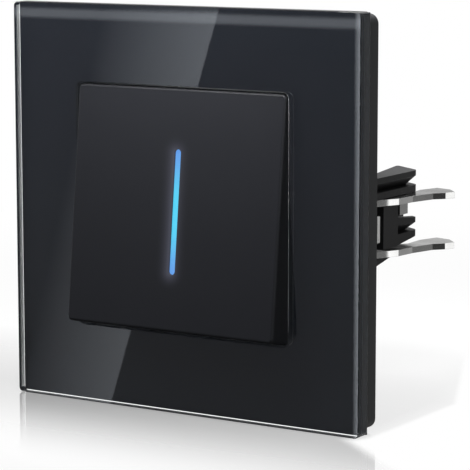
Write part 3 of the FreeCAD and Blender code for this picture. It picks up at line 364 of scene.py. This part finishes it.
def lamp_resin():
    """Milky resin of the small lamps, with a faint blue light."""
    n = Surface("lamp_resin")
    n.set(Base_Color=n.blend(n.noise(0.6 * MM, 2), (0.70, 0.80, 0.88, 1), (0.80, 0.90, 0.95, 1)))
    n.set(Roughness=n.span(n.noise(0.3 * MM, 2), 0.3, 0.7, 0.2, 0.35))
    n.set(Emission_Color=(0.1, 0.6, 1.0, 1), Emission_Strength=0.6)
    return n.material


CLAW_STEEL = claw_steel()
SCREW_STEEL = plated("screw_steel", (0.68, 0.68, 0.66, 1), 0.26, (6, 1, 6))
PIN_STEEL = plated("pin_steel", (0.56, 0.56, 0.57, 1), 0.24, (1, 1, 10))
COPPER = plated("rolled_copper", (0.78, 0.44, 0.26, 1), 0.3, (8, 1, 1))

# Part of a node's name, and the finish of the nodes that hold it: the first that fits counts
FINISHES = {
    "glass_panel": clear_glass(),
    "backing_tape": black_foil(),
    "panel_frame": moulded("frame_black", (0.0190, 0.0205, 0.0225, 1), 0.42, level=0.45),
    "mounting_plate": plated("plate_steel", (0.60, 0.61, 0.62, 1), 0.34, (1, 1, 12), 0.004 * MM),
    "mechanism_case": moulded("case_charcoal", (0.0300, 0.0315, 0.0335, 1), 0.46),
    "mechanism_cover": moulded("cover_charcoal", (0.0480, 0.0495, 0.0520, 1), 0.48),
    "case_screw": SCREW_STEEL,
    "hinge_pin": PIN_STEEL,
    "fixed_contact": COPPER,
    "terminal_screw": SCREW_STEEL,
    "terminal": plated("machined_brass", (0.78, 0.60, 0.28, 1), 0.28, (1, 8, 1)),
    "lamp_board": circuit_board(),
    "indicator_lamp": lamp_resin(),
    "lamp_lead": COPPER,
    "button_cap": cap_material(),
    "button_carrier": moulded("carrier_grey", (0.0550, 0.0560, 0.0590, 1), 0.5),
    "light_bar": lit_bar(),
    "light_guide": frosted_guide(),
    "plunger": moulded("plunger_natural", (0.72, 0.71, 0.68, 1), 0.38, tint=1.08),
    "contact_bridge": COPPER,
    "return_spring": plated("spring_steel", (0.52, 0.52, 0.54, 1), 0.28),
    "claw_pin": PIN_STEEL,
    "claw_screw": SCREW_STEEL,
    "claw_nut": CLAW_STEEL,
    "claw_guide": moulded(
        "guide_black", (0.0200, 0.0200, 0.0215, 1), 0.5, grain=0.2 * MM, relief=0.01 * MM, level=0.35
    ),
    "claw": CLAW_STEEL,
}


def finish_of(node):
    """The material of a CAD node."""
    for key, material in FINISHES.items():
        if key in node:
            return material
    raise KeyError(node)


def dress(obj, material):
    """Give an object one material."""
    obj.data.materials.clear()
    obj.data.materials.append(material)


for node_name, node_object in nodes.items():
    if not node_object.material_slots:
        raise RuntimeError(node_name + " has no material slot")
    for material_slot in node_object.material_slots:
        material_slot.material = finish_of(node_name)


# Mesh building


def in_scene(name, data):
    """A new object in the scene."""
    obj = bpy.data.objects.new(name, data)
    bpy.context.scene.collection.objects.link(obj)
    return obj


def node_body(node):
    """The body that a CAD node belongs to."""
    for body, members in frame["record"]["behaviour"]["bodies"].items():
        if node in members:
            return body
    raise KeyError(node)


WELD = 0.001 * MM
FLAT_ANGLE = math.radians(0.5)
EDGE_ANGLE = math.radians(35)


def softened(node, width, segments=3, reshape=None):
    """A copy of a CAD node with rounded edges, which stands for the node."""
    solid = bmesh.new()
    solid.from_mesh(nodes[node].data)
    bmesh.ops.remove_doubles(solid, verts=solid.verts, dist=WELD)
    bmesh.ops.dissolve_limit(solid, angle_limit=FLAT_ANGLE, verts=solid.verts, edges=solid.edges)
    for face in solid.faces:
        face.smooth = True
    if reshape:
        reshape(solid)
    mesh = bpy.data.meshes.new(node + "_softened")
    solid.to_mesh(mesh)
    solid.free()
    rough = in_scene("rough", mesh)
    rounding = rough.modifiers.new("rounding", "BEVEL")
    rounding.width = width
    rounding.segments = segments
    rounding.limit_method = "ANGLE"
    rounding.angle_limit = EDGE_ANGLE
    rounding.use_clamp_overlap = True
    flat = rough.modifiers.new("flat", "WEIGHTED_NORMAL")
    flat.mode = "FACE_AREA"
    flat.weight = 100
    flat.keep_sharp = True
    depsgraph = bpy.context.evaluated_depsgraph_get()
    finished = bpy.data.meshes.new_from_object(rough.evaluated_get(depsgraph))
    bpy.data.objects.remove(rough)
    piece = in_scene(node + "_visual", finished)
    dress(piece, finish_of(node))
    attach(piece, node_body(node))
    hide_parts(node)


def creased(solid):
    """Keep the flats along a claw's sheared edge crisp, outward of its heel."""
    heel_end = 15 * MM
    for face in solid.faces:
        farthest = max(vert.co.y for vert in face.verts)
        face.smooth = abs(face.normal.z) > 0.5 or farthest < heel_end


def wet_to_glass(solid):
    """Press the tape a hair into the glass and spread it to the glass's edge and window."""
    window = 25.1 * MM
    edge = 40.55 * MM
    for vert in solid.verts:
        vert.co.y -= 0.02 * MM
        inner = max(abs(vert.co.x), abs(vert.co.z)) < window + 1 * MM
        vert.co.x *= 1 - 0.09 * MM / window if inner else 1 + 0.34 * MM / edge
        vert.co.z *= 1 - 0.09 * MM / window if inner else 1 + 0.27 * MM / edge


# Levels of a claw guide that shift: height over its foot, how close to it, from Y, to Y, rise
GUIDE_SHIFTS = (
    (3.3, 0.05, 30.0, 40.0, 1.1),
    (7.5, 0.05, 32.0, 40.0, -0.3),
    (8.2, 0.02, 0.0, 24.1, 0.9),
    (13.8, 0.05, 0.0, 40.0, -0.2),
)


def relieved(solid):
    """Slope a claw guide's bars up to rounded tips, with a short lowest bar and a deep tooth."""
    foot = min(vert.co.z for vert in solid.verts)
    slope_start = 16.5 * MM
    bar_top = 1.45 * MM
    bar_end = 23 * MM
    bar_reach = 28 * MM
    bar_edge = 0.1 * MM
    bar_lift = 1.3 * MM
    everything = list(solid.verts) + list(solid.edges) + list(solid.faces)
    bmesh.ops.bisect_plane(solid, geom=everything, plane_co=(0, slope_start, 0), plane_no=(0, 1, 0))
    for vert in solid.verts:
        height = vert.co.z - foot
        if height < bar_top and vert.co.y > bar_end:
            vert.co.y = bar_end
            vert.co.x = math.copysign(max(abs(vert.co.x), bar_reach), vert.co.x)
            if height < bar_edge:
                vert.co.z = foot + bar_lift
            continue
        for level, near, start, end, rise in GUIDE_SHIFTS:
            if abs(height - level * MM) < near * MM and start * MM < vert.co.y < end * MM:
                vert.co.z += rise * MM
                break
    bmesh.ops.remove_doubles(solid, verts=solid.verts, dist=WELD)
    corners = [edge for edge in solid.edges if is_tip_corner(edge)]
    bmesh.ops.bevel(
        solid, geom=corners, offset=1.1 * MM, segments=4, profile=0.5, affect="EDGES", clamp_overlap=False
    )


def is_tip_corner(edge):
    """Whether an edge runs down a corner at a bar's outer end."""
    tips_from = 30 * MM
    shortest = 0.9 * MM
    first, last = (vert.co for vert in edge.verts)
    along = last - first
    return first.y > tips_from and along.length > shortest and abs(along.z) > 0.5 * along.length


softened("button_cap", 0.05 * MM, 1)
softened("panel_frame", 0.15 * MM)
softened("backing_tape", 0.03 * MM, 1, reshape=wet_to_glass)
for side in SIDES:
    softened(side + "_claw", 0.28 * MM, 4, reshape=creased)
    softened(side + "_claw_guide", 0.5 * MM, 4, reshape=relieved)
    softened(side + "_claw_nut", 0.2 * MM, 3)


# Stage: floor, world, lamps and reflection card


def floor_material():
    """Glossy white acrylic whose mirror image fades away from the panel."""
    n = Surface("white_acrylic")
    n.tree.nodes.remove(n.shader)
    seen = n.add("LightPath").outputs["Is Camera Ray"]
    x, y, _ = n.axes()
    behind_panel = n.math("MAXIMUM", n.math("SUBTRACT", y, 30 * MM), 0.0)
    before_panel = n.math("MINIMUM", n.total(y, 10 * MM), 0.0)
    rightward = n.total(x, n.product(behind_panel, 0.45), n.product(before_panel, 1.2))
    open_side = n.span(rightward, 36.5 * MM, 43.5 * MM, smooth=True)

    diffuse = n.add("BsdfDiffuse")
    diffuse.inputs["Color"].default_value = grey(0.9)
    far = n.span(n.length(x, y), 100 * MM, 300 * MM, 0.85, 1.0, smooth=True)
    lit = n.add("MixShader")
    n.link(n.product(seen, n.math("MAXIMUM", far, open_side)), lit.inputs["Fac"])
    n.link(diffuse.outputs[0], lit.inputs[1])
    n.link(n.emission(grey(1.0), 1.0), lit.inputs[2])

    mirror = n.add("BsdfGlossy")
    mirror.inputs["Color"].default_value = grey(1.0)
    mirror.inputs["Roughness"].default_value = 0.03
    near_panel = n.span(y, -56 * MM, -6 * MM, smooth=True)
    not_behind = n.span(y, 0.0, 50 * MM, 1.0, 0.0)
    rightward_loss = n.span(x, -36 * MM, 36 * MM, 0.68, 0.50)
    closed_side = n.math("SUBTRACT", 1.0, open_side)
    both = n.add("MixShader")
    n.link(n.product(near_panel, not_behind, rightward_loss, closed_side, seen), both.inputs["Fac"])
    n.link(lit.outputs[0], both.inputs[1])
    n.link(mirror.outputs[0], both.inputs[2])
    n.link(both.outputs[0], n.output.inputs["Surface"])
    return n.material


def sheet(name, corners, material):
    """A flat four-cornered stage piece."""
    mesh = bpy.data.meshes.new(name)
    mesh.from_pydata([Vector(corner) for corner in corners], [], [(0, 1, 2, 3)])
    obj = in_scene(name, mesh)
    dress(obj, material)
    return obj


FLOOR_HALF = 1500 * MM
FLOOR_FRONT = -400 * MM
FLOOR_BACK = 1600 * MM

floor = sheet(
    "floor",
    [
        (-FLOOR_HALF, FLOOR_FRONT, FLOOR_Z),
        (FLOOR_HALF, FLOOR_FRONT, FLOOR_Z),
        (FLOOR_HALF, FLOOR_BACK, FLOOR_Z),
        (-FLOOR_HALF, FLOOR_BACK, FLOOR_Z),
    ],
    floor_material(),
)
floor.visible_diffuse = False
floor.visible_glossy = False
floor.visible_transmission = False


def studio():
    """White backdrop to every eye; a plain grey studio lights the object, with darker walls mirrored."""
    world = bpy.data.worlds.new("studio")
    bpy.context.scene.world = world
    n = Nodes(world)
    n.tree.nodes.clear()
    rays = n.add("LightPath").outputs
    x, y, z = n.axes("Generated")

    def step(value, low, high):
        """Nought below the range, one above it."""
        return n.span(value, low, high, smooth=True)

    # In front of the wall: paler upwards, dark at the far right
    front = n.span(z, 0.0, 0.6, 0.10, 0.55, smooth=True)
    front = n.mix(step(x, 0.78, 0.86), front, 0.04)

    # Behind it on the left: a grey foot under a bright wall
    behind = n.span(z, 0.04, 0.30, 0.20, 0.85, smooth=True)

    # Behind it on the right, as the claws mirror it: strips from left to right, then layers upwards
    beside = n.span(x, 0.45, 0.36, 0.17, 0.42, smooth=True)
    for axis, low, high, tone in (
        (x, 0.50, 0.64, 0.30),
        (x, 0.72, 0.80, 0.15),
        (x, 0.91, 0.96, 1.20),
        (z, 0.25, 0.40, 0.08),
        (z, 0.50, 0.65, 0.80),
    ):
        beside = n.mix(step(axis, low, high), beside, tone)

    rear = n.mix(step(x, -0.05, 0.20), behind, beside)
    mirrored = n.mix(step(y, -0.08, 0.10), front, rear)
    through = n.span(z, -0.05, 0.05, 1.05, 0.90, smooth=True)
    level = n.mix(rays["Is Glossy Ray"], 0.30, mirrored)
    level = n.mix(rays["Is Transmission Ray"], level, through)
    level = n.mix(rays["Is Camera Ray"], level, 1.0)
    background = n.add("Background")
    background.inputs["Color"].default_value = grey(1.0)
    n.link(level, background.inputs["Strength"])
    n.link(background.outputs[0], n.add("OutputWorld").inputs["Surface"])


studio()


def area_lamp(name, place, target, width, height, power, spread=180):
    """A soft lamp aimed at a point."""
    data = bpy.data.lights.new(name, "AREA")
    data.shape = "RECTANGLE"
    data.size = width
    data.size_y = height
    data.energy = power
    data.spread = math.radians(spread)
    lamp = in_scene(name, data)
    lamp.location = place
    lamp.rotation_euler = (Vector(target) - Vector(place)).to_track_quat("-Z", "Y").to_euler()
    lamp.visible_camera = False
    lamp.visible_transmission = False


area_lamp("top_lamp", (-0.15, -0.25, 0.75), (0, 0, 0), width=0.6, height=0.4, power=3.0)
area_lamp("left_lamp", (-0.7, -0.2, 0.25), (0, 0, 0), width=0.4, height=0.5, power=1.6)
area_lamp("near_lamp", (0.0, -0.045, 0.10), (0, 0, 0.04), width=0.08, height=0.03, power=0.110, spread=90)


# The eye that the studio card is laid out for, a hair off the camera's place
EYE = Vector((255.9, -391.3, 64.6)) * MM
MIRROR_EYE = Vector((EYE.x, 2 * GLASS_Y - EYE.y, EYE.z))
CARD_AWAY = 300 * MM
CARD_SHARE = CARD_AWAY / (MIRROR_EYE.y - GLASS_Y)
CARD_HALF_X = 46 * MM
CARD_HALF_Z = 43 * MM


def card_point(x, z):
    """Where the studio card has to be for the eye to see it in the glass at a point."""
    spot = Vector((x, GLASS_Y, z))
    return spot + (spot - MIRROR_EYE) * CARD_SHARE


def card_material():
    """The studio as the glass mirrors it, in mm on the glass: window glare, lamp band, edge stripe."""
    n = Surface("studio_card")
    n.tree.nodes.remove(n.shader)
    glass_mm = 1 / (1 + CARD_SHARE) / MM
    x, _, z = (n.product(place, glass_mm) for place in n.axes())

    def line(low, slope):
        """A place or strength that changes with height."""
        return n.total(n.product(z, slope), low)

    right_share = n.span(x, -15, 35)
    right_loss = n.product(right_share, line(0.048, 0.0007))
    tone = n.blend(n.span(z, -30, 36), (1.0, 1.0, 1.05, 1), (0.90, 1.0, 1.30, 1))
    plain = n.emission(tone, n.math("SUBTRACT", line(0.265, 0.0018), right_loss))

    glare_start = line(-29.5, 0.274)
    glare_end = line(-4.0, 0.326)
    past_start = n.math("SUBTRACT", x, glare_start)
    rise = n.span(n.math("DIVIDE", past_start, n.math("SUBTRACT", glare_end, glare_start)), 0.0, 1.0)
    inside = n.span(n.math("SUBTRACT", x, glare_end), -0.2, 0.25, 1.0, 0.0)
    under_band = n.span(z, 39.9, 40.6, 1.0, 0.3)
    glare = n.product(rise, inside, line(1.50, 0.0100), under_band)

    band_middle = 38.85
    off_band = n.math("ABSOLUTE", n.math("SUBTRACT", z, band_middle))
    band = n.span(off_band, 0.35, 1.45, 1.7, 0.0, smooth=True)

    past_stripe = n.math("SUBTRACT", x, line(39.68, -0.0025))
    before_edge = n.span(x, 40.85, 41.0, 1.0, 0.0)
    stripe = n.product(n.span(past_stripe, 0.0, 1.15, 0.0, 3.9), before_edge)

    both = n.add("AddShader")
    n.link(plain, both.inputs[0])
    n.link(n.emission((0.94, 1.0, 1.08, 1), n.total(glare, band, stripe)), both.inputs[1])
    n.link(both.outputs[0], n.output.inputs["Surface"])
    return n.material


card_middle = card_point(0, 0)
card_corners = [
    card_point(CARD_HALF_X * x, CARD_HALF_Z * z) - card_middle
    for x, z in ((-1, -1), (1, -1), (1, 1), (-1, 1))
]
card = sheet("studio_card", card_corners, card_material())
card.location = card_middle
card.visible_camera = False
card.visible_diffuse = False
card.visible_shadow = False
card.visible_transmission = False


# Camera at the photograph's angle

AZIMUTH = math.radians(32.363)
ELEVATION = math.radians(8.527)
ROLL = math.radians(-0.046)
DISTANCE = 458.0 * MM
TARGET = Vector((12.99, -8, -3.40)) * MM
SENSOR_WIDTH = 36
LENS = 178.57

back = Vector(
    (
        math.sin(AZIMUTH) * math.cos(ELEVATION),
        -math.cos(AZIMUTH) * math.cos(ELEVATION),
        math.sin(ELEVATION),
    )
)
right = Vector((math.cos(AZIMUTH), math.sin(AZIMUTH), 0))
up = back.cross(right)
camera_data = bpy.data.cameras.new("camera")
camera_data.sensor_fit = "HORIZONTAL"
camera_data.sensor_width = SENSOR_WIDTH
camera_data.lens = LENS
camera_data.clip_start = 10 * MM
camera = in_scene("camera", camera_data)
turn = Matrix((right, up, back)).transposed().to_4x4() @ Matrix.Rotation(ROLL, 4, "Z")
camera.matrix_world = Matrix.Translation(TARGET + back * DISTANCE) @ turn
bpy.context.scene.camera = camera

bpy.context.scene.view_settings.view_transform = "Standard"
